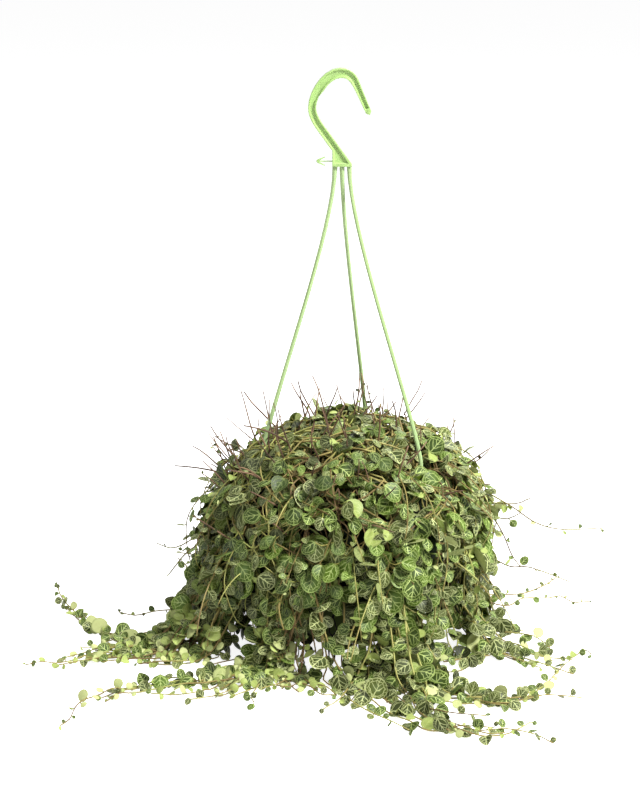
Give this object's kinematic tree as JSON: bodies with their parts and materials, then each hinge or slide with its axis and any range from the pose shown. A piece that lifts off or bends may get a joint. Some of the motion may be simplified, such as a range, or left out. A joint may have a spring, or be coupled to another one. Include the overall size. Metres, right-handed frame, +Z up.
{
  "type": "potted string of turtles",
  "caption": "Trailing succulent in a tapered nursery pot with a three-strand plastic hanger and hook, stood on a surface with its stems lying round it",
  "frame": {"origin": "middle of the pot's flat base, on the surface that the pot stands on", "axes": "+Z up along the pot's axis, -Y towards the front, the hook's flat side faces -Y"},
  "size_m": [0.3888, 0.3879, 0.3871],
  "materials": {
    "pot_plastic": "dark olive green moulded polypropylene, satin",
    "peat": "dark moist peat, crumbly and matt",
    "hanger_plastic": "light lime green moulded polypropylene, slightly glossy",
    "foliage": "waxy succulent leaves, dark green between pale veins",
    "stem": "thin tan to yellow green stems with waxy leaves",
    "flower_spike": "matt red brown, finely bumpy"
  },
  "bodies": {
    "root": {"flower_spike_1": "flower_spike", "flower_spike_2": "flower_spike", "flower_spike_3": "flower_spike", "flower_spike_4": "flower_spike", "flower_spike_5": "flower_spike", "flower_spike_6": "flower_spike", "foliage_crown": "foliage", "foliage_curtain_01": "foliage", "foliage_curtain_02": "foliage", "foliage_curtain_03": "foliage", "foliage_curtain_04": "foliage", "foliage_curtain_05": "foliage", "foliage_curtain_06": "foliage", "foliage_curtain_07": "foliage", "foliage_curtain_08": "foliage", "foliage_curtain_09": "foliage", "foliage_curtain_10": "foliage", "foliage_curtain_11": "foliage", "foliage_curtain_12": "foliage", "hanger_hook": "hanger_plastic", "hanger_strand_back": "hanger_plastic", "hanger_strand_left": "hanger_plastic", "hanger_strand_right": "hanger_plastic", "pot": "pot_plastic", "side_shoot_1": "stem", "side_shoot_2": "stem", "side_shoot_3": "stem", "side_shoot_4": "stem", "soil": "peat", "trailing_stem_01": "stem", "trailing_stem_02": "stem", "trailing_stem_03": "stem", "trailing_stem_04": "stem", "trailing_stem_05": "stem", "trailing_stem_06": "stem", "trailing_stem_07": "stem", "trailing_stem_08": "stem", "trailing_stem_09": "stem", "trailing_stem_10": "stem", "trailing_stem_11": "stem", "trailing_stem_12": "stem", "trailing_stem_13": "stem", "trailing_stem_14": "stem", "trailing_stem_15": "stem", "trailing_stem_16": "stem", "trailing_stem_17": "stem", "trailing_stem_18": "stem", "trailing_stem_19": "stem", "trailing_stem_20": "stem", "trailing_stem_21": "stem", "trailing_stem_22": "stem"}
  },
  "joints": []
}
